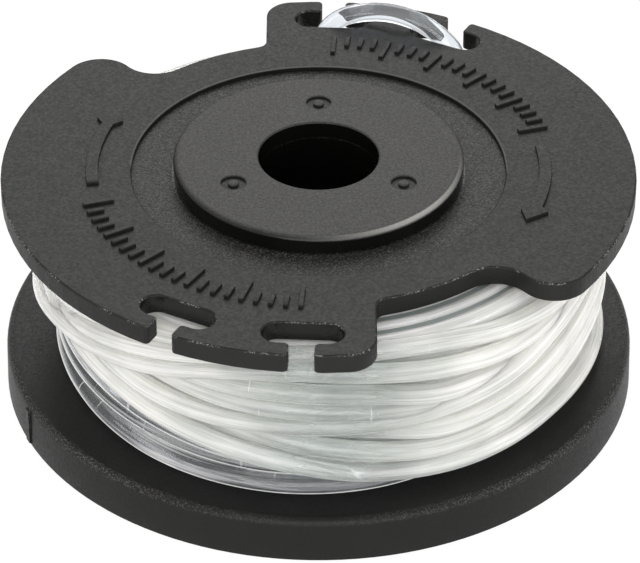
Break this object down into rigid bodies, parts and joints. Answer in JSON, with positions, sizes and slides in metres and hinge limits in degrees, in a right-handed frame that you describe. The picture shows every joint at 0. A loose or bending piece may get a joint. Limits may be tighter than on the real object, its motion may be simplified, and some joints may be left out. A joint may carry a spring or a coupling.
{
  "type": "trimmer line spool",
  "caption": "Moulded plastic spool with a round lower flange and a notched upper flange, wound with clear nylon trimmer line that loops through two slots.",
  "frame": {"origin": "centre of the spool's base, on the axis of the bore", "axes": "+Z along the axis from the plain lower flange to the notched upper flange; the square tab beside the front notch points to -Y"},
  "size_m": [0.0642, 0.0642, 0.027],
  "materials": {
    "spool_plastic": "fine-grained black moulded plastic",
    "nylon_line": "clear monofilament, milky where it is wound in layers"
  },
  "bodies": {
    "root": {"spool_body": "spool_plastic", "trimmer_line": "nylon_line"}
  },
  "joints": []
}
